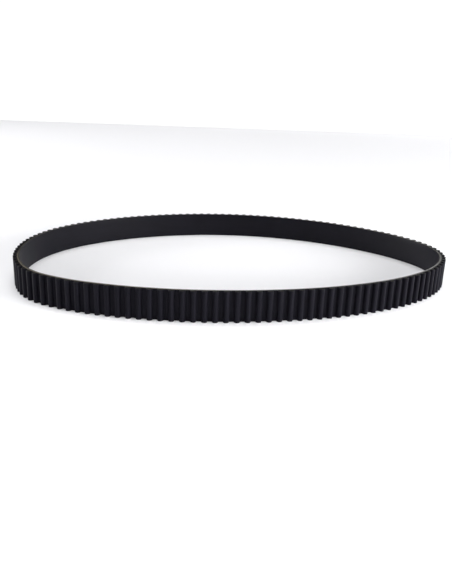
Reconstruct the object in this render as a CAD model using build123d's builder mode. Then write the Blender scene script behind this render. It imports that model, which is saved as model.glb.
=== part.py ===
"""Endless timing belt, 5 mm curvilinear pitch, 15 mm wide, standing on one cut edge.

The loop is turned with its teeth outwards and its smooth back inwards. Everything is in
millimetres, +Z up, with the origin at the middle of the loop on the surface it stands on.
"""
from build123d import *
from math import cos, pi, radians, sin
import os

os.makedirs("parts", exist_ok=True)

# Belt size: 130 teeth of 5 mm give a pitch length of 650 mm.
TOOTH_PITCH = 5.0
TOOTH_COUNT = 130
BELT_WIDTH = 15.0
BELT_THICKNESS = 3.4        # back to tooth tip
PITCH_LENGTH = TOOTH_PITCH * TOOTH_COUNT

# Tooth profile, round-topped. Heights are above the land, the flat floor between teeth.
TOOTH_HEIGHT = 1.91
TIP_RADIUS = 1.35
ROOT_RADIUS = 0.4
PITCH_LINE_TO_LAND = 0.48
FIRST_TOOTH = 3.9           # first tooth's middle, along the pitch line from the start of the loop

# Layers
FACING_THICKNESS = 0.2      # nylon fabric over the toothed side
CORD_DIAMETER = 0.5         # glass-fibre cords, their middles on the pitch line
CORD_SPACING = 1.1
CORD_COUNT = 13             # S-twist and Z-twist cords in turn across the width

# Lie of the loop. The pitch line is a ring of tangent arcs that each turn by the same angle.
# Each arc's radius is the round loop's, plus waves (how many, height, direction in degrees).
# Waves of two and more leave the loop closed and its length unchanged.
ARC_COUNT = 24
ARC_TURN = 360 / ARC_COUNT
ROUND_RADIUS = PITCH_LENGTH / (2 * pi)
WAVES = ((2, 50.0, 7.5), (3, 28.0, 18.0), (4, 15.5, 9.5), (5, 19.0, 0.0))

# Distances from the pitch line, positive towards the teeth
BACK = PITCH_LINE_TO_LAND + TOOTH_HEIGHT - BELT_THICKNESS
LAND = PITCH_LINE_TO_LAND


def arc_radius(index: int) -> float:
    """Radius of one arc of the pitch line."""
    heading = ARC_TURN * (index + 0.5)
    return ROUND_RADIUS + sum(
        height * cos(radians(count * (heading - direction))) for count, height, direction in WAVES
    )


def heading_vector(heading: float) -> Vector:
    """Unit vector along the belt where it runs at this heading, in degrees from +X."""
    return Vector(cos(radians(heading)), sin(radians(heading)))


def outward_vector(heading: float) -> Vector:
    """Unit vector from the back towards the teeth where the belt runs at this heading."""
    return Vector(sin(radians(heading)), -cos(radians(heading)))


def loop_centres() -> list[Vector]:
    """Centres of the arcs, with the middle of the whole loop at the origin.

    The loop starts at its front, running along +X, and turns anticlockwise. Its outermost
    places along X and Y fall where the heading is a whole number of quarter turns.
    """
    joint = Vector(0, 0)
    centres, joints = [], []
    for index in range(ARC_COUNT):
        start = ARC_TURN * index
        joints.append(joint)
        centres.append(joint - outward_vector(start) * arc_radius(index))
        joint = centres[-1] + outward_vector(start + ARC_TURN) * arc_radius(index)
    front, right, rear, left = joints[:: ARC_COUNT // 4]
    middle = Vector((left.X + right.X) / 2, (front.Y + rear.Y) / 2)
    return [centre - middle for centre in centres]


CENTRES = loop_centres()


def loop_edges(distance: float) -> None:
    """Draw the closed loop that lies this far outside the pitch line."""
    for index, centre in enumerate(CENTRES):
        CenterArc(centre, arc_radius(index) + distance, ARC_TURN * index - 90, ARC_TURN)


def belt_frame(station: float) -> tuple[Vector, float]:
    """Point on the pitch line and heading there, at a distance along it from the start."""
    index, left_over = 0, station % PITCH_LENGTH
    while left_over > arc_radius(index) * radians(ARC_TURN):
        left_over -= arc_radius(index) * radians(ARC_TURN)
        index += 1
    heading = ARC_TURN * index + left_over / radians(1) / arc_radius(index)
    return CENTRES[index] + outward_vector(heading) * arc_radius(index), heading


def toothed_edges(depth: float) -> None:
    """Draw the closed toothed outline that lies this deep under the belt's toothed surface.

    A tooth is a tip arc standing on two root fillets, and a straight land joins it to the next.
    """
    tip, root = TIP_RADIUS - depth, ROOT_RADIUS + depth
    tip_height = LAND + TOOTH_HEIGHT - TIP_RADIUS
    root_height = LAND + ROOT_RADIUS
    rise = root_height - tip_height
    half_width = ((TIP_RADIUS + ROOT_RADIUS) ** 2 - rise**2) ** 0.5
    to_root = Vector(half_width, rise).normalized()     # from the tip's centre to a root's centre
    down_and_in = Vector(-to_root.X, -1 - to_root.Y).normalized()

    first = last = None
    for tooth in range(TOOTH_COUNT):
        origin, heading = belt_frame(FIRST_TOOTH + TOOTH_PITCH * tooth)
        along, out = heading_vector(heading), outward_vector(heading)

        def place(x: float, y: float) -> Vector:
            """A point x along the belt from the tooth's middle and y outside the pitch line."""
            return origin + along * x + out * y

        foot = (half_width, LAND - depth)
        waist = (to_root.X * tip, tip_height + to_root.Y * tip)
        bend = (half_width + down_and_in.X * root, root_height + down_and_in.Y * root)
        if last is not None:
            Line(last, place(-foot[0], foot[1]))
        else:
            first = place(-foot[0], foot[1])
        ThreePointArc(place(-foot[0], foot[1]), place(-bend[0], bend[1]), place(-waist[0], waist[1]))
        ThreePointArc(place(-waist[0], waist[1]), place(0, tip_height + tip), place(*waist))
        ThreePointArc(place(*waist), place(*bend), place(*foot))
        last = place(*foot)
    Line(last, first)


def cord_height(index: int) -> float:
    """Height of a cord's middle above the edge that the belt stands on."""
    return BELT_WIDTH / 2 + CORD_SPACING * (index - (CORD_COUNT - 1) / 2)


# One turn of cord: a round strand bent along the pitch line, lying in the plane z = 0.
with BuildPart() as cord_turn:
    with BuildLine() as cord_route:
        loop_edges(0)
    with BuildSketch(Plane(origin=cord_route.wire() @ 0, z_dir=cord_route.wire() % 0)):
        Circle(CORD_DIAMETER / 2)
    sweep(path=cord_route.wire())

# Cords of each twist, laid in turn from the lower edge to the upper one.
with BuildPart() as s_twist_cords:
    for cord in range(0, CORD_COUNT, 2):
        add(cord_turn.part.moved(Location((0, 0, cord_height(cord)))))
s_twist_cords.part.label = "s_twist_cords"

with BuildPart() as z_twist_cords:
    for cord in range(1, CORD_COUNT, 2):
        add(cord_turn.part.moved(Location((0, 0, cord_height(cord)))))
z_twist_cords.part.label = "z_twist_cords"

# Smooth back: rubber from the ground back to the cords' middles, half round each cord.
with BuildPart() as backing_rubber:
    with BuildSketch():
        with BuildLine():
            loop_edges(0)
        make_face()
        with BuildLine():
            loop_edges(BACK)
        make_face(mode=Mode.SUBTRACT)
    extrude(amount=BELT_WIDTH)
    add(s_twist_cords.part, mode=Mode.SUBTRACT)
    add(z_twist_cords.part, mode=Mode.SUBTRACT)
backing_rubber.part.label = "backing_rubber"

# Teeth: rubber from the cords' middles out to the fabric, the other half round each cord.
with BuildPart() as tooth_rubber:
    with BuildSketch():
        with BuildLine():
            toothed_edges(FACING_THICKNESS)
        make_face()
        with BuildLine():
            loop_edges(0)
        make_face(mode=Mode.SUBTRACT)
    extrude(amount=BELT_WIDTH)
    add(s_twist_cords.part, mode=Mode.SUBTRACT)
    add(z_twist_cords.part, mode=Mode.SUBTRACT)
tooth_rubber.part.label = "tooth_rubber"

# Fabric facing: one thin sheet over every tooth and land.
with BuildPart() as tooth_facing:
    with BuildSketch():
        with BuildLine():
            toothed_edges(0)
        make_face()
        with BuildLine():
            toothed_edges(FACING_THICKNESS)
        make_face(mode=Mode.SUBTRACT)
    extrude(amount=BELT_WIDTH)
tooth_facing.part.label = "tooth_facing"

export_step(s_twist_cords.part, "parts/s_twist_cords.step")
export_step(z_twist_cords.part, "parts/z_twist_cords.step")
export_step(backing_rubber.part, "parts/backing_rubber.step")
export_step(tooth_rubber.part, "parts/tooth_rubber.step")
export_step(tooth_facing.part, "parts/tooth_facing.step")

for node in (s_twist_cords, z_twist_cords, backing_rubber, tooth_rubber, tooth_facing):
    print(node.part.label, len(node.part.solids()), "solids", round(node.part.volume, 1), "mm3")
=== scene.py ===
"""Looks of an endless rubber timing belt standing on its cut edge, teeth outwards.

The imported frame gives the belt's width and body. Each layer of the belt is a class that builds its own
mesh: the fabric facing, the tooth rubber, the backing rubber and the tensile cords. Lengths are metres.
"""
import logging
import random
from dataclasses import dataclass, field
from enum import Enum
from math import atan2, cos, pi, radians, sin
from typing import Any, Callable, Iterable, Sequence

import bmesh
import bpy
from mathutils import Matrix, Vector

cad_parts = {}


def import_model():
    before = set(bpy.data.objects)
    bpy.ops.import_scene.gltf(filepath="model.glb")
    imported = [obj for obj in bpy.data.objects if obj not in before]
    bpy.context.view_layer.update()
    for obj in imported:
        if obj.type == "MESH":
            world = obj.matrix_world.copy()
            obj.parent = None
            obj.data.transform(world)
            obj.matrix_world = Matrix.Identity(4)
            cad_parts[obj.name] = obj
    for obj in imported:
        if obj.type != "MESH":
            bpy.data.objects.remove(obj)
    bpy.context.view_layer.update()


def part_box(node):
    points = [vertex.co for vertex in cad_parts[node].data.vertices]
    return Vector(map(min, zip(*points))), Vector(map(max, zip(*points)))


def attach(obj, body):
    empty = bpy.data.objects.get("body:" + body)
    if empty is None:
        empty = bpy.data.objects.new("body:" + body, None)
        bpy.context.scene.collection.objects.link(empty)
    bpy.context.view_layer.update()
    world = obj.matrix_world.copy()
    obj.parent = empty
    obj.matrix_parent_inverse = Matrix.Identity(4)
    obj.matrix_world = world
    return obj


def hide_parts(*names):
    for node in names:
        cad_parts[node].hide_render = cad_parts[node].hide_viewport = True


LOG = logging.getLogger("timing_belt")
MM = 0.001
BODY = "root"
SEED = 5                     # of the small differences between teeth
WELD = 1e-7                  # points nearer than this become one
CORNER = 0.3                 # share of its radius that a worn edge lies in from the sharp corner


# ---------------------------------------------------------------------------------------------
# Shape shared by every layer
# ---------------------------------------------------------------------------------------------


@dataclass(frozen=True)
class BeltFrame:
    """A place on the pitch line, with the directions along the belt and out towards the teeth."""

    point: Vector
    along: Vector
    out: Vector

    def at(self, x: float, y: float, z: float) -> Vector:
        """Point x along the belt, y out from the pitch line and z up from the lower edge."""
        return self.point + self.along * x + self.out * y + Vector((0.0, 0.0, z))


@dataclass
class BeltLoop:
    """The pitch line: a closed ring of tangent arcs that each turn by the same angle.

    Each arc's radius is the round loop's, plus waves given as how many, height and direction in
    degrees. Waves of two and more leave the loop closed and its length unchanged.
    """

    pitch: float = 5.0 * MM
    teeth: int = 130
    arcs: int = 24
    waves: tuple[tuple[int, float, float], ...] = (
        (2, 50.0 * MM, 7.5),
        (3, 28.0 * MM, 18.0),
        (4, 15.5 * MM, 9.5),
        (5, 19.0 * MM, 0.0),
    )
    centres: list[Vector] = field(default_factory=list, init=False)

    def __post_init__(self) -> None:
        """Lay the arcs end to end from the front, then put the loop's middle at the origin."""
        joint, joints = Vector((0.0, 0.0, 0.0)), []
        for index in range(self.arcs):
            start = self.turn * index
            joints.append(joint)
            self.centres.append(joint - self.outward(start) * self.radius(index))
            joint = self.centres[-1] + self.outward(start + self.turn) * self.radius(index)
        # The loop is widest and deepest where it has turned by whole quarters.
        front, right, rear, left = joints[:: self.arcs // 4]
        middle = Vector(((left.x + right.x) / 2, (front.y + rear.y) / 2, 0.0))
        self.centres = [centre - middle for centre in self.centres]

    @property
    def length(self) -> float:
        """Length of the pitch line."""
        return self.pitch * self.teeth

    @property
    def turn(self) -> float:
        """Angle that each arc turns by, in radians."""
        return 2 * pi / self.arcs

    @staticmethod
    def outward(heading: float) -> Vector:
        """Unit vector from the back towards the teeth where the belt runs at this heading."""
        return Vector((sin(heading), -cos(heading), 0.0))

    def radius(self, index: int) -> float:
        """Radius of one arc."""
        heading = self.turn * (index + 0.5)
        return self.length / (2 * pi) + sum(
            height * cos(count * (heading - radians(way))) for count, height, way in self.waves
        )

    def frame(self, station: float) -> BeltFrame:
        """Find the place at a distance along the pitch line.

        Args:
            station: distance along the pitch line from the start of the loop.

        Returns:
            The frame there.
        """
        index, left_over = 0, station % self.length
        while index < self.arcs - 1 and left_over > self.radius(index) * self.turn:
            left_over -= self.radius(index) * self.turn
            index += 1
        heading = self.turn * index + left_over / self.radius(index)
        out = self.outward(heading)
        along = Vector((cos(heading), sin(heading), 0.0))
        return BeltFrame(self.centres[index] + out * self.radius(index), along, out)


@dataclass
class BeltSection:
    """Sizes across the belt, as distances from the pitch line or heights above the lower edge."""

    width: float
    thickness: float = 3.4 * MM
    tooth_height: float = 1.91 * MM
    tip_radius: float = 1.35 * MM
    root_radius: float = 0.4 * MM
    land: float = 0.48 * MM
    facing: float = 0.2 * MM
    cord: float = 0.5 * MM
    first_tooth: float = 3.9 * MM

    @property
    def back(self) -> float:
        """Distance of the smooth back from the pitch line, negative because it faces the other way."""
        return self.land + self.tooth_height - self.thickness


@dataclass(frozen=True)
class OutlinePoint:
    """One point of the toothed outline, on the arc that shapes the belt there."""

    station: float                   # middle of its tooth, along the pitch line
    frame: BeltFrame
    centre: tuple[float, float]      # the arc's centre: along the belt, and out from the pitch line
    way: tuple[float, float]         # unit direction from that centre
    radius: float                    # the arc's radius at the fabric's surface
    swell: int                       # 1 where the arc grows with depth, -1 where it shrinks
    lean: float = 0.0                # how far the tooth tips back, in radians
    foot: float = 0.0                # height about which it tips

    def at(self, depth: float) -> Vector:
        """Find the point this deep under the fabric's surface, at height 0.

        Args:
            depth: distance under the surface.

        Returns:
            The point.
        """
        reach = self.radius + self.swell * depth
        x, y = self.centre[0] + self.way[0] * reach, self.centre[1] + self.way[1] * reach
        return self.frame.at(x - self.lean * (y - self.foot), y, 0.0)


@dataclass
class ToothOutline:
    """The toothed outline of the whole belt, tooth by tooth, each a little different from the next."""

    loop: BeltLoop
    section: BeltSection
    root_steps: int = 4
    tip_steps: int = 12
    height_spread: float = 0.008 * MM
    lean_spread: float = 0.25            # degrees

    def tooth_points(self, station: float, rng: random.Random) -> list[OutlinePoint]:
        """Work out the points of one tooth and of the land after it.

        Args:
            station: middle of the tooth, along the pitch line.
            rng: seeded source of the small differences between teeth.

        Returns:
            Points from the foot before the tooth to the middle of the land after it.
        """
        sec, frame = self.section, self.loop.frame(station)
        tip_height = sec.land + sec.tooth_height - sec.tip_radius + rng.gauss(0, self.height_spread)
        root_height = sec.land + sec.root_radius
        rise = root_height - tip_height
        half_width = ((sec.tip_radius + sec.root_radius) ** 2 - rise**2) ** 0.5
        lean = radians(rng.gauss(0, self.lean_spread))
        waist = atan2(rise, half_width)      # direction from the tip's centre to the root's centre

        before, after = [], []
        for step in range(1, self.root_steps + 1):
            angle = waist + (pi / 2 - waist) * step / self.root_steps
            for side, fillet in ((-1, before), (1, after)):
                centre, way = (side * half_width, root_height), (-side * cos(angle), -sin(angle))
                fillet.append(OutlinePoint(station, frame, centre, way, sec.root_radius, 1))
        tip = []
        for step in range(self.tip_steps + 1):
            angle = pi - waist - (pi - 2 * waist) * step / self.tip_steps
            centre, way = (0.0, tip_height), (cos(angle), sin(angle))
            tip.append(
                OutlinePoint(station, frame, centre, way, sec.tip_radius, -1, lean, sec.land)
            )
        next_land = self.loop.frame(station + self.loop.pitch / 2)
        land = OutlinePoint(station, next_land, (0.0, sec.land), (0.0, -1.0), 0.0, 1)
        return [*reversed(before), *tip, *after, land]

    def points(self) -> list[OutlinePoint]:
        """Points of the whole outline, in order along the belt."""
        rng = random.Random(SEED)
        return [
            point
            for tooth in range(self.loop.teeth)
            for point in self.tooth_points(self.section.first_tooth + self.loop.pitch * tooth, rng)
        ]


# ---------------------------------------------------------------------------------------------
# Meshes
# ---------------------------------------------------------------------------------------------


def wrapped_grid(
    along: int,
    across: int,
    place: Callable[[int, int], Vector],
    uv: Callable[[int, int], tuple[float, float]],
    cut_strips: Iterable[int] = (),
    sharp: Iterable[int] = (),
    ring: bool = True,
) -> bmesh.types.BMesh:
    """Wrap a grid round a piece's section, and round the loop too if the piece is a ring.

    Args:
        along: steps along the piece.
        across: points round the piece's section.
        place: place of a grid point, from its index along the piece and its index round the section.
        uv: pattern coordinates of a grid point, from the same indices, in metres.
        cut_strips: strips of faces, by index round the section, that take the second finish.
        sharp: indices round the section whose edges along the piece stay crisp.
        ring: whether the piece's far end joins its near end.

    Returns:
        The mesh, with its open edges welded and its faces pointing outwards.
    """
    bm = bmesh.new()
    bmesh.ops.create_grid(bm, x_segments=along, y_segments=across, size=1.0)
    layer = bm.loops.layers.uv.new("UVMap")
    # Number each grid point: its step along the piece, then its step round the section.
    order = sorted(bm.verts, key=lambda vert: (round((vert.co.y + 1) * across / 2), vert.co.x))
    steps = {vert: divmod(rank, along + 1)[::-1] for rank, vert in enumerate(order)}
    cut, crisp = set(cut_strips), set(sharp)
    for face in bm.faces:
        strip = min(steps[vert][1] for vert in face.verts)
        face.material_index = int(strip in cut)
        face.smooth = True
        for corner in face.loops:
            corner[layer].uv = uv(*steps[corner.vert])
    for edge in bm.edges:
        (_, low), (_, high) = (steps[vert] for vert in edge.verts)
        edge.smooth = not (low == high and low % across in crisp)
    for vert, (x, y) in steps.items():
        vert.co = place(x % along if ring else x, y % across)
    bmesh.ops.remove_doubles(bm, verts=bm.verts, dist=WELD)
    bmesh.ops.recalc_face_normals(bm, faces=bm.faces)
    return bm


def to_object(bm: bmesh.types.BMesh, name: str) -> bpy.types.Object:
    """Turn a finished bmesh into an object at the origin and link it to the scene.

    Args:
        bm: the finished mesh, which is freed.
        name: name of the object and of its mesh.

    Returns:
        The object.
    """
    mesh = bpy.data.meshes.new(name)
    bm.to_mesh(mesh)
    bm.free()
    piece = bpy.data.objects.new(name, mesh)
    bpy.context.scene.collection.objects.link(piece)
    return piece


def settle(
    piece: bpy.types.Object, node: str, finishes: Iterable[bpy.types.Material]
) -> None:
    """Dress a finished piece, and hang it on the belt's one body in place of a CAD node.

    Args:
        piece: the piece.
        node: CAD node that it stands for.
        finishes: its materials, in the order of its faces' material numbers.
    """
    for finish in finishes:
        piece.data.materials.append(finish)
    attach(piece, BODY)
    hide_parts(node)


def running_lengths(points: Sequence[Vector]) -> list[float]:
    """Measure along a closed line of points.

    Args:
        points: the points, in order.

    Returns:
        The distance to each of them, and round to the first again.
    """
    total, lengths = 0.0, [0.0]
    for here, there in zip(points, [*points[1:], points[0]]):
        total += (there - here).length
        lengths.append(total)
    return lengths


@dataclass
class Facing:
    """The fabric over the toothed side, from one cut edge to the other."""

    outline: list[OutlinePoint]
    section: BeltSection
    rows: int = 6
    edge_round: float = 0.09 * MM
    inset: float = 0.01 * MM         # its cut edges stay this far inside the belt's width

    def profile(self) -> list[tuple[float, float]]:
        """Work out the facing's section.

        Returns:
            Depth and height of each point round it, from the outer lower edge up.
        """
        low, high = self.inset, self.section.width - self.inset
        r = self.edge_round
        lower = [(r, low), (CORNER * r, low + CORNER * r)]
        wall = [(0.0, low + r + (high - low - 2 * r) * row / self.rows) for row in range(self.rows + 1)]
        upper = [(CORNER * r, high - CORNER * r), (r, high)]
        return [*lower, *wall, *upper, (self.section.facing, high), (self.section.facing, low)]

    def build(self, finishes: "Finishes") -> bpy.types.Object:
        """Make the facing with its woven face and its cut edges.

        Args:
            finishes: the belt's finishes.

        Returns:
            The facing.
        """
        profile = self.profile()
        surface = running_lengths([point.at(0.0) for point in self.outline])
        sheets = {depth: [point.at(depth) for point in self.outline] for depth, _ in profile}
        top = len(profile) - 3

        def place(x: int, y: int) -> Vector:
            """Place of a grid point."""
            depth, height = profile[y]
            return sheets[depth][x] + Vector((0.0, 0.0, height))

        def uv(x: int, y: int) -> tuple[float, float]:
            """Distance along the fabric, and across it."""
            depth, height = profile[y % len(profile)]
            return surface[x], height + depth

        # The worn corners, the two cut edges and the hidden inner side
        cut_strips = (0, top - 1, top, top + 1, top + 2)
        bm = wrapped_grid(len(self.outline), len(profile), place, uv, cut_strips, sharp=(0, top))
        piece = to_object(bm, "tooth_facing_cloth")
        dressing = (finishes.facing_cloth.material(), finishes.facing_edge.material())
        settle(piece, "tooth_facing", dressing)
        return piece


@dataclass
class ToothRubber:
    """The rubber inside the teeth, from the fabric in to the pitch line."""

    outline: list[OutlinePoint]
    loop: BeltLoop
    section: BeltSection
    inset: float = 0.03 * MM         # the cut rubber lies this far inside the belt's width

    def build(self, finishes: "Finishes") -> bpy.types.Object:
        """Make the rubber with its two cut faces.

        Args:
            finishes: the belt's finishes.

        Returns:
            The rubber.
        """
        low, high = self.inset, self.section.width - self.inset
        outer = [point.at(self.section.facing) for point in self.outline]
        per_tooth = len(self.outline) // self.loop.teeth
        shares = [(rank % per_tooth + 1) / per_tooth - 0.5 for rank in range(len(self.outline))]
        inner = [
            self.loop.frame(point.station + self.loop.pitch * share).point
            for point, share in zip(self.outline, shares)
        ]
        profile = [(outer, low), (outer, high), (inner, high), (inner, low)]

        def place(x: int, y: int) -> Vector:
            """Place of a grid point."""
            points, height = profile[y]
            return points[x] + Vector((0.0, 0.0, height))

        def uv(x: int, y: int) -> tuple[float, float]:
            """Distance along the belt, and round its section."""
            points, height = profile[y % len(profile)]
            across = self.section.land if points is outer else 0.0
            return self.loop.length * x / len(self.outline), height + across

        bm = wrapped_grid(len(self.outline), len(profile), place, uv, sharp=range(len(profile)))
        piece = to_object(bm, "tooth_rubber_body")
        # The tooth ends' cut faces take the darker copy of the cut rubber. Its darkness is painted
        # shade.
        settle(piece, "tooth_rubber", (finishes.cut_tooth_painted_shade.material(),))
        return piece


@dataclass
class Backing:
    """The rubber behind the cords, with the belt's smooth back and two cut faces."""

    loop: BeltLoop
    section: BeltSection
    along: int = 1300
    rows: int = 8
    edge_round: float = 0.12 * MM
    inset: float = 0.03 * MM         # the cut rubber lies this far inside the belt's width

    def profile(self) -> list[tuple[float, float]]:
        """Work out the backing's section.

        Returns:
            Distance from the pitch line and height of each point round it, from the lower cut face up.
        """
        low, high = self.inset, self.section.width - self.inset
        back, r = self.section.back, self.edge_round
        lower = [(0.0, low), (back + r, low), (back + CORNER * r, low + CORNER * r)]
        wall = [(back, low + r + (high - low - 2 * r) * row / self.rows) for row in range(self.rows + 1)]
        upper = [(back + CORNER * r, high - CORNER * r), (back + r, high), (0.0, high)]
        return [*lower, *wall, *upper]

    def build(self, finishes: "Finishes") -> bpy.types.Object:
        """Make the backing with its ground back and its cut faces.

        Args:
            finishes: the belt's finishes.

        Returns:
            The backing.
        """
        profile = self.profile()
        frames = [self.loop.frame(self.loop.length * x / self.along) for x in range(self.along)]
        last = len(profile) - 1

        def place(x: int, y: int) -> Vector:
            """Place of a grid point."""
            distance, height = profile[y]
            return frames[x].at(0.0, distance, height)

        def uv(x: int, y: int) -> tuple[float, float]:
            """Distance along the belt, and round its section."""
            distance, height = profile[y % len(profile)]
            return self.loop.length * x / self.along, height - distance

        # The two cut faces and the worn corners beside them
        cut_strips = (0, 1, last - 2, last - 1)
        bm = wrapped_grid(self.along, len(profile), place, uv, cut_strips, sharp=(0, last))
        piece = to_object(bm, "backing_rubber_body")
        dressing = (finishes.ground_back.material(), finishes.cut_rubber.material())
        settle(piece, "backing_rubber", dressing)
        return piece


class Twist(Enum):
    """Hand of a cord's lay."""

    S = -1
    Z = 1


@dataclass
class TensileCord:
    """One of the two cords wound side by side through the belt, sliced off at both cut edges."""

    twist: Twist
    loop: BeltLoop
    section: BeltSection
    advance: float = 2.2 * MM        # rise of the cord over one turn of the belt
    lay: float = 9.0 * MM            # length of one turn of its strands
    strands: int = 3
    lobe_depth: float = 0.18         # how far the hollows between strands go in, of the radius
    girth: float = 3.0               # distance round the cord, in cord thicknesses, near enough
    around: int = 12
    steps: int = 650                 # along one turn of the belt
    inset: float = 0.02 * MM         # its cut ends stand 0.01 mm proud of the cut rubber

    def strand_radius(self, angle: float) -> float:
        """Radius of the twisted cord's lobed outline at an angle from its first strand."""
        lobe = abs(cos(self.strands * angle / 2))
        return self.section.cord / 2 * (1 - self.lobe_depth * (1 - lobe))

    def build(self, node: str, finishes: "Finishes") -> bpy.types.Object:
        """Wind the cord up through the belt, turn by turn, and slice it at the cut edges.

        Args:
            node: CAD node that the cord stands for.
            finishes: the belt's finishes.

        Returns:
            The cord.
        """
        start = -self.section.cord / 2 + (self.advance / 2 if self.twist is Twist.Z else 0.0)
        turns = (self.section.width + self.section.cord - start) / self.advance
        frames = [self.loop.frame(self.loop.length * x / self.steps) for x in range(self.steps)]

        def place(x: int, y: int) -> Vector:
            """Place of a grid point.

            Args:
                x: step along the cord.
                y: step round it.

            Returns:
                The place.
            """
            run = self.loop.length * x / self.steps
            angle = 2 * pi * y / self.around
            radius = self.strand_radius(angle)
            turned = angle + self.twist.value * 2 * pi * run / self.lay
            height = start + self.advance * x / self.steps + radius * sin(turned)
            return frames[x % self.steps].at(0.0, radius * cos(turned), height)

        def uv(x: int, y: int) -> tuple[float, float]:
            """Distance along the cord, and round it."""
            return self.loop.length * x / self.steps, self.section.cord * self.girth * y / self.around

        bm = wrapped_grid(int(turns * self.steps) + 1, self.around, place, uv, ring=False)
        for height, up in ((self.inset, -1), (self.section.width - self.inset, 1)):
            cut = bmesh.ops.bisect_plane(
                bm, geom=[*bm.verts, *bm.edges, *bm.faces], plane_co=(0, 0, height),
                plane_no=(0, 0, up), clear_outer=True,
            )
            rim = [item for item in cut["geom_cut"] if isinstance(item, bmesh.types.BMEdge)]
            bmesh.ops.triangle_fill(bm, edges=rim, use_beauty=False, normal=(0, 0, up))
        bmesh.ops.recalc_face_normals(bm, faces=bm.faces)
        piece = to_object(bm, f"tensile_cord_{self.twist.name.lower()}")
        settle(piece, node, (finishes.cord_yarn.material(),))
        return piece


# ---------------------------------------------------------------------------------------------
# Finishes
# ---------------------------------------------------------------------------------------------

BAND_PER_UNIT = pi / 10      # scale at which a wave texture draws one band per unit of its coordinate


def linear(hex_colour: str) -> tuple[float, float, float, float]:
    """Turn an sRGB hex colour, such as #1a1b1c, into linear RGBA."""
    channels = (int(hex_colour[start : start + 2], 16) / 255 for start in (1, 3, 5))
    return (*(c / 12.92 if c <= 0.04045 else ((c + 0.055) / 1.055) ** 2.4 for c in channels), 1.0)


def add_node(
    tree: bpy.types.NodeTree,
    kind: str,
    inputs: dict[Any, Any] | None = None,
    settings: dict[str, Any] | None = None,
) -> bpy.types.Node:
    """Add a node, with its inputs set or linked and with its settings.

    Args:
        tree: node tree that the node joins.
        kind: the node's type name, without its ShaderNode prefix.
        inputs: values, sockets to link, or nodes whose first output in use is linked, by the
            input's name or number.
        settings: attributes of the node.

    Returns:
        The new node.
    """
    node = tree.nodes.new("ShaderNode" + kind)
    for name, value in (settings or {}).items():
        setattr(node, name, value)
    for name, value in (inputs or {}).items():
        if isinstance(value, bpy.types.Node):
            value = next(socket for socket in value.outputs if socket.enabled)
        if isinstance(value, bpy.types.NodeSocket):
            tree.links.new(value, node.inputs[name])
        else:
            node.inputs[name].default_value = value
    return node


def new_material(name: str) -> tuple[bpy.types.Material, bpy.types.NodeTree]:
    """Make a material with an empty node tree.

    Args:
        name: the material's name.

    Returns:
        The material and its tree.
    """
    material = bpy.data.materials.new(name)
    material.use_nodes = True
    material.node_tree.nodes.clear()
    return material, material.node_tree


@dataclass(frozen=True)
class FacingCloth:
    """Woven nylon, dipped in rubber solution and cured in the mould.

    The dip fills the weave, so it reads as a matt black skin with a faint twill, rubbed a little paler
    in thin ribs across the belt.
    """

    name: str = "nylon_facing_rubber_dipped_twill"
    colour: str = "#15141b"
    bare_thread: str = "#25242d"
    thread: float = 0.42 * MM        # drawn coarser than the real 0.3 mm, so that it shows
    twill_turn: float = 38.0         # degrees
    rib: float = 0.7 * MM            # spacing of the thin ribs across the belt
    rib_length: float = 33.0 * MM
    patch: float = 4.2 * MM          # where the dip lies thicker or thinner
    roughness: float = 0.55
    specular: float = 0.08

    def material(self) -> bpy.types.Material:
        """Make the material.

        Returns:
            The material.
        """
        material, tree = new_material(self.name)
        coordinates = add_node(tree, "TexCoord")
        threads = {"Vector": coordinates.outputs["UV"], "Scale": (1 / self.thread,) * 3}
        turned = add_node(
            tree, "Mapping", {**threads, "Rotation": (0.0, 0.0, radians(self.twill_turn))}
        )
        twill = add_node(
            tree, "TexWave",
            {"Vector": turned, "Scale": BAND_PER_UNIT, "Distortion": 0.6, "Detail": 1.0,
             "Detail Scale": 2.0},
            {"wave_type": "BANDS", "bands_direction": "X"},
        )
        cross = add_node(
            tree, "TexWave",
            {"Vector": add_node(tree, "Mapping", threads), "Scale": BAND_PER_UNIT, "Distortion": 0.3},
            {"wave_type": "BANDS", "bands_direction": "Y"},
        )
        weave = add_node(
            tree, "Math", {0: twill.outputs["Fac"], 1: cross.outputs["Fac"]}, {"operation": "MULTIPLY"}
        )
        dip = add_node(
            tree, "TexNoise",
            {"Vector": coordinates.outputs["Object"], "Scale": 1 / self.patch, "Detail": 4.0,
             "Roughness": 0.6},
        )
        rib_scale = (1 / self.rib, 1 / self.rib_length, 1.0)
        stretched = add_node(tree, "Mapping", {"Vector": coordinates.outputs["UV"], "Scale": rib_scale})
        ribs = add_node(tree, "TexNoise", {"Vector": stretched, "Scale": 1.0, "Detail": 1.5})
        rubbed = add_node(
            tree, "MapRange", {"Value": ribs, "From Min": 0.42, "From Max": 0.68, "To Max": 0.6}
        )
        worn = add_node(tree, "Math", {0: rubbed, 1: weave}, {"operation": "MAXIMUM"})
        shade = add_node(
            tree, "Mix", {"Factor": worn, "A": linear(self.colour), "B": linear(self.bare_thread)},
            {"data_type": "RGBA"},
        )
        dullness = add_node(
            tree, "MapRange",
            {"Value": dip, "To Min": self.roughness - 0.03, "To Max": self.roughness + 0.05},
        )
        swell = add_node(tree, "MapRange", {"Value": dip, "To Max": 0.12})
        height = add_node(tree, "Math", {0: weave, 1: swell}, {"operation": "ADD"})
        bump = add_node(tree, "Bump", {"Height": height, "Distance": 0.02 * MM, "Strength": 0.12})
        shader = add_node(
            tree, "BsdfPrincipled",
            {"Base Color": shade, "Roughness": dullness, "Specular IOR Level": self.specular,
             "Normal": bump},
        )
        add_node(tree, "OutputMaterial", {"Surface": shader})
        return material


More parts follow.
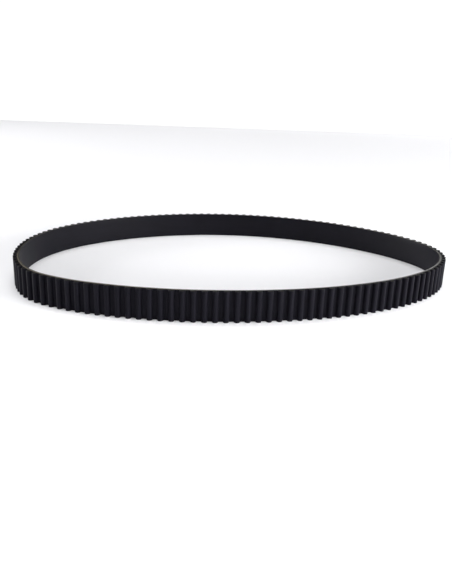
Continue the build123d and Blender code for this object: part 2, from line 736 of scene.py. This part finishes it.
@dataclass(frozen=True)
class CutRubber:
    """Chloroprene rubber, sliced by a rotating knife.

    The knife leaves a satin face, browner than the ground back, with fine lines along the belt.
    """

    name: str = "chloroprene_knife_cut"
    colour: str = "#2b2a25"
    dusty: str = "#3d3b34"
    line: float = 0.16 * MM          # drawn coarser than the real 0.05 mm, so that it shows
    line_length: float = 25.0 * MM
    grain: float = 0.7 * MM
    roughness: float = 0.38
    specular: float = 0.25

    def material(self) -> bpy.types.Material:
        """Make the material.

        Returns:
            The material.
        """
        material, tree = new_material(self.name)
        coordinates = add_node(tree, "TexCoord")
        grain = add_node(
            tree, "TexNoise",
            {"Vector": coordinates.outputs["Object"], "Scale": 1 / self.grain, "Detail": 6.0,
             "Roughness": 0.7},
        )
        line_scale = (1 / self.line_length, 1 / self.line, 1.0)
        stretched = add_node(tree, "Mapping", {"Vector": coordinates.outputs["UV"], "Scale": line_scale})
        lines = add_node(tree, "TexNoise", {"Vector": stretched, "Scale": 1.0, "Detail": 2.0})
        both = add_node(tree, "Math", {0: grain, 1: lines}, {"operation": "MULTIPLY"})
        dust = add_node(tree, "MapRange", {"Value": both, "From Min": 0.12, "From Max": 0.42})
        shade = add_node(
            tree, "Mix", {"Factor": dust, "A": linear(self.colour), "B": linear(self.dusty)},
            {"data_type": "RGBA"},
        )
        dullness = add_node(
            tree, "MapRange",
            {"Value": grain, "To Min": self.roughness - 0.08, "To Max": self.roughness + 0.1},
        )
        bump = add_node(tree, "Bump", {"Height": both, "Distance": 0.03 * MM, "Strength": 0.12})
        shader = add_node(
            tree, "BsdfPrincipled",
            {"Base Color": shade, "Roughness": dullness, "Specular IOR Level": self.specular,
             "Normal": bump},
        )
        add_node(tree, "OutputMaterial", {"Surface": shader})
        return material


@dataclass(frozen=True)
class CutCloth:
    """Rubber-dipped nylon, cut through with the belt.

    The cut threads show as a thin dark rim with dots a little lighter than the rubber between them.
    """

    name: str = "nylon_facing_cut_edge"
    colour: str = "#161513"
    thread_end: str = "#35332e"
    thread: float = 0.42 * MM        # as coarse as the facing's weave is drawn
    roughness: float = 0.6
    specular: float = 0.08

    def material(self) -> bpy.types.Material:
        """Make the material.

        Returns:
            The material.
        """
        material, tree = new_material(self.name)
        coordinates = add_node(tree, "TexCoord")
        # Two threads lie on each other in the cloth's thickness.
        end_scale = (1 / self.thread, 2 / self.thread, 1.0)
        stretched = add_node(tree, "Mapping", {"Vector": coordinates.outputs["UV"], "Scale": end_scale})
        ends = add_node(
            tree, "TexVoronoi", {"Vector": stretched, "Scale": 1.0}, {"feature": "F1"}
        ).outputs["Distance"]
        between = add_node(tree, "MapRange", {"Value": ends, "From Min": 0.15, "From Max": 0.55})
        shade = add_node(
            tree, "Mix", {"Factor": between, "A": linear(self.thread_end), "B": linear(self.colour)},
            {"data_type": "RGBA"},
        )
        bump = add_node(
            tree, "Bump", {"Height": ends, "Distance": 0.02 * MM, "Strength": 0.15}, {"invert": True}
        )
        shader = add_node(
            tree, "BsdfPrincipled",
            {"Base Color": shade, "Roughness": self.roughness, "Specular IOR Level": self.specular,
             "Normal": bump},
        )
        add_node(tree, "OutputMaterial", {"Surface": shader})
        return material


@dataclass(frozen=True)
class GroundBack:
    """Chloroprene rubber, ground to thickness on its back with a fine abrasive drum.

    Grinding leaves a smooth dark grey face with hair-fine lines along the belt and a soft, wide shine.
    """

    name: str = "chloroprene_ground_back"
    colour: str = "#131219"
    pale: str = "#1b1a22"
    line: float = 0.12 * MM          # drawn coarser than the real 0.05 mm, so that it shows
    line_length: float = 17.0 * MM
    cloud: float = 22.0 * MM         # size of the paler patches
    roughness: float = 0.5
    specular: float = 0.12

    def material(self) -> bpy.types.Material:
        """Make the material.

        Returns:
            The material.
        """
        material, tree = new_material(self.name)
        coordinates = add_node(tree, "TexCoord")
        line_scale = (1 / self.line_length, 1 / self.line, 1.0)
        stretched = add_node(tree, "Mapping", {"Vector": coordinates.outputs["UV"], "Scale": line_scale})
        lines = add_node(tree, "TexNoise", {"Vector": stretched, "Scale": 1.0, "Detail": 3.0})
        cloud = add_node(
            tree, "TexNoise",
            {"Vector": coordinates.outputs["Object"], "Scale": 1 / self.cloud, "Detail": 5.0,
             "Roughness": 0.6},
        )
        both = add_node(tree, "Math", {0: lines, 1: cloud}, {"operation": "MULTIPLY"})
        worn = add_node(tree, "MapRange", {"Value": both, "From Min": 0.12, "From Max": 0.4})
        shade = add_node(
            tree, "Mix", {"Factor": worn, "A": linear(self.colour), "B": linear(self.pale)},
            {"data_type": "RGBA"},
        )
        dullness = add_node(
            tree, "MapRange",
            {"Value": cloud, "To Min": self.roughness - 0.08, "To Max": self.roughness + 0.1},
        )
        bump = add_node(tree, "Bump", {"Height": lines, "Distance": 0.012 * MM, "Strength": 0.5})
        shader = add_node(
            tree, "BsdfPrincipled",
            {"Base Color": shade, "Roughness": dullness, "Specular IOR Level": self.specular,
             "Normal": bump},
        )
        add_node(tree, "OutputMaterial", {"Surface": shader})
        return material


@dataclass(frozen=True)
class CordYarn:
    """Glass-fibre yarn, dipped in adhesive and twisted.

    The dip turns the white glass a dull tan with fine lines along the strands.
    """

    name: str = "glass_cord_adhesive_dipped"
    colour: str = "#8d8270"
    gap: str = "#4e463a"
    filament: float = 0.08 * MM      # drawn about nine times its real width, so that it shows
    filament_length: float = 2.5 * MM
    roughness: float = 0.6

    def material(self) -> bpy.types.Material:
        """Make the material.

        Returns:
            The material.
        """
        material, tree = new_material(self.name)
        coordinates = add_node(tree, "TexCoord")
        scale = (1 / self.filament_length, 1 / self.filament, 1.0)
        stretched = add_node(tree, "Mapping", {"Vector": coordinates.outputs["UV"], "Scale": scale})
        filaments = add_node(tree, "TexNoise", {"Vector": stretched, "Scale": 1.0, "Detail": 2.0})
        raised = add_node(tree, "MapRange", {"Value": filaments, "From Min": 0.35, "From Max": 0.6})
        shade = add_node(
            tree, "Mix", {"Factor": raised, "A": linear(self.gap), "B": linear(self.colour)},
            {"data_type": "RGBA"},
        )
        bump = add_node(tree, "Bump", {"Height": filaments, "Distance": 0.03 * MM, "Strength": 0.6})
        shader = add_node(
            tree, "BsdfPrincipled", {"Base Color": shade, "Roughness": self.roughness, "Normal": bump}
        )
        add_node(tree, "OutputMaterial", {"Surface": shader})
        return material


@dataclass(frozen=True)
class Finishes:
    """The belt's finishes."""

    facing_cloth: FacingCloth = FacingCloth()
    facing_edge: CutCloth = CutCloth()
    cut_rubber: CutRubber = CutRubber()
    # Darker copy of the knife-cut rubber for the tooth ends. Its dark colour is painted shade, standing
    # in for the shade of the gaps between the teeth. Its dust marks are real.
    cut_tooth_painted_shade: CutRubber = CutRubber(
        "chloroprene_tooth_knife_cut_painted_shade", "#12110f", "#1f1e1a", roughness=0.62, specular=0.08
    )
    ground_back: GroundBack = GroundBack()
    cord_yarn: CordYarn = CordYarn()


# ---------------------------------------------------------------------------------------------
# Studio
# ---------------------------------------------------------------------------------------------


def hang_light(name: str, data: bpy.types.Light, place: Vector, aim: Vector) -> bpy.types.Object:
    """Hang a light, turned to what it faces and unseen by the camera.

    Args:
        name: the light's name.
        data: its kind, size and strength.
        place: where it hangs.
        aim: the point that it faces.

    Returns:
        The light.
    """
    lamp = bpy.data.objects.new(name, data)
    lamp.location = place
    lamp.rotation_euler = (aim - place).to_track_quat("-Z", "Y").to_euler()
    lamp.visible_camera = False
    bpy.context.scene.collection.objects.link(lamp)
    return lamp


@dataclass(frozen=True)
class SoftPanel:
    """A soft rectangular light that faces the belt, level with its own middle."""

    name: str
    place: tuple[float, float, float]
    size: tuple[float, float]            # width and height
    brightness: float                    # how bright its face looks, where 1 shows as white

    def hang(self) -> bpy.types.Object:
        """Hang the light.

        Returns:
            The light.
        """
        data = bpy.data.lights.new(self.name, "AREA")
        data.shape, data.size, data.size_y = "RECTANGLE", *self.size
        data.energy = self.brightness * pi * self.size[0] * self.size[1]
        return hang_light(self.name, data, Vector(self.place), Vector((0.0, 0.0, self.place[2])))


@dataclass
class Studio:
    """Pale floor, soft lights and the camera."""

    floor_size: float = 2.4
    floor_colour: str = "#f4f4f6"
    camera_place: tuple[float, float, float] = (-4.2 * MM, -355.64 * MM, 104.65 * MM)
    camera_dip: float = 18.51            # degrees below level
    camera_roll: float = 2.04            # degrees
    lens: float = 38.62                  # mm on a 36 mm sensor
    overhead: float = 1.8                # sunlight's watts per square metre
    overhead_spread: float = 45.0        # degrees across
    overhead_tilt: float = 8.0           # degrees from straight above, towards the back
    panels: tuple[SoftPanel, ...] = (
        SoftPanel("cove_glow", (0.9, 2.0, 0.15), (3.6, 0.3), 3.5),
        SoftPanel("cove_corner", (1.1, 1.95, 0.15), (1.0, 0.3), 2.5),
        SoftPanel("left_strip", (-1.25, 0.35, 0.25), (0.8, 0.5), 12.0),
        SoftPanel("right_strip", (1.3, -0.35, 0.25), (1.1, 0.5), 6.5),
        SoftPanel("right_card", (0.42, -0.24, 0.12), (0.3, 0.2), 4.5),
    )
    floor_fill: SoftPanel = SoftPanel("floor_fill", (0.0, -2.0, 0.25), (3.0, 0.5), 20.0)
    seen_white: float = 1.05             # how bright the surroundings look to the camera
    surround_tint: str = "#f2f4ff"
    surround_light: float = 0.06         # how bright they are as a light

    def floor(self) -> bpy.types.Collection:
        """Lay the floor that the belt stands on.

        Returns:
            A collection that holds the floor alone.
        """
        bm = bmesh.new()
        bmesh.ops.create_grid(bm, x_segments=2, y_segments=2, size=self.floor_size / 2)
        floor = to_object(bm, "studio_floor")
        material, tree = new_material("studio_floor_paper")
        shader = add_node(
            tree, "BsdfPrincipled",
            {"Base Color": linear(self.floor_colour), "Roughness": 0.9, "Specular IOR Level": 0.1},
        )
        add_node(tree, "OutputMaterial", {"Surface": shader})
        floor.data.materials.append(material)
        alone = bpy.data.collections.new("floor_only")
        alone.objects.link(floor)
        return alone

    def lights(self, floor_only: bpy.types.Collection) -> None:
        """Hang the wide overhead light and the low ones behind, in front and at each side.

        Args:
            floor_only: what the light in front shines on, so that the front teeth stay dark.
        """
        sky = bpy.data.lights.new("overhead_silk", "SUN")
        sky.energy, sky.angle = self.overhead, radians(self.overhead_spread)
        hang_light("overhead_silk", sky, Vector((0.0, sin(radians(self.overhead_tilt)), 1.0)), Vector())
        for panel in self.panels:
            panel.hang()
        self.floor_fill.hang().light_linking.receiver_collection = floor_only

    def surround(self) -> None:
        """Fill the surroundings: white to the camera, and a dim even grey as a light."""
        world = bpy.data.worlds.new("studio_surround")
        bpy.context.scene.world = world
        world.use_nodes = True
        tree = world.node_tree
        tree.nodes.clear()
        white = (1.0, 1.0, 1.0, 1.0)
        seen = add_node(tree, "Background", {"Color": white, "Strength": self.seen_white})
        lit = add_node(
            tree, "Background", {"Color": linear(self.surround_tint), "Strength": self.surround_light}
        )
        rays = add_node(tree, "LightPath")
        mix = add_node(tree, "MixShader", {0: rays.outputs["Is Camera Ray"], 1: lit, 2: seen})
        add_node(tree, "OutputWorld", {"Surface": mix})

    def camera(self) -> None:
        """Set the camera: level along +Y, dipped towards the belt, then rolled about its own view."""
        data = bpy.data.cameras.new("studio_camera")
        data.lens, data.sensor_width, data.sensor_fit = self.lens, 36.0, "AUTO"
        data.clip_start, data.clip_end = 0.01, 60.0
        camera = bpy.data.objects.new("studio_camera", data)
        camera.matrix_world = (
            Matrix.Translation(self.camera_place)
            @ Matrix.Rotation(radians(90 - self.camera_dip), 4, "X")
            @ Matrix.Rotation(radians(self.camera_roll), 4, "Z")
        )
        bpy.context.scene.collection.objects.link(camera)
        bpy.context.scene.camera = camera

    def build(self) -> None:
        """Set up the whole studio."""
        self.camera()
        self.lights(self.floor())
        self.surround()
        bpy.context.scene.view_settings.view_transform = "Standard"


def main() -> None:
    """Load the frame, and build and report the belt's layers."""
    logging.basicConfig(level=logging.INFO, format="%(name)s: %(message)s")
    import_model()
    low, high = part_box("tooth_facing")

    loop = BeltLoop()
    section = BeltSection(width=high.z - low.z)
    outline = ToothOutline(loop, section).points()
    finishes = Finishes()

    Studio().build()
    pieces = (
        Facing(outline, section).build(finishes),
        ToothRubber(outline, loop, section).build(finishes),
        Backing(loop, section).build(finishes),
        TensileCord(Twist.S, loop, section).build("s_twist_cords", finishes),
        TensileCord(Twist.Z, loop, section).build("z_twist_cords", finishes),
    )
    for piece in pieces:
        LOG.info("%s has %d faces", piece.name, len(piece.data.polygons))


if __name__ == "__main__":
    main()
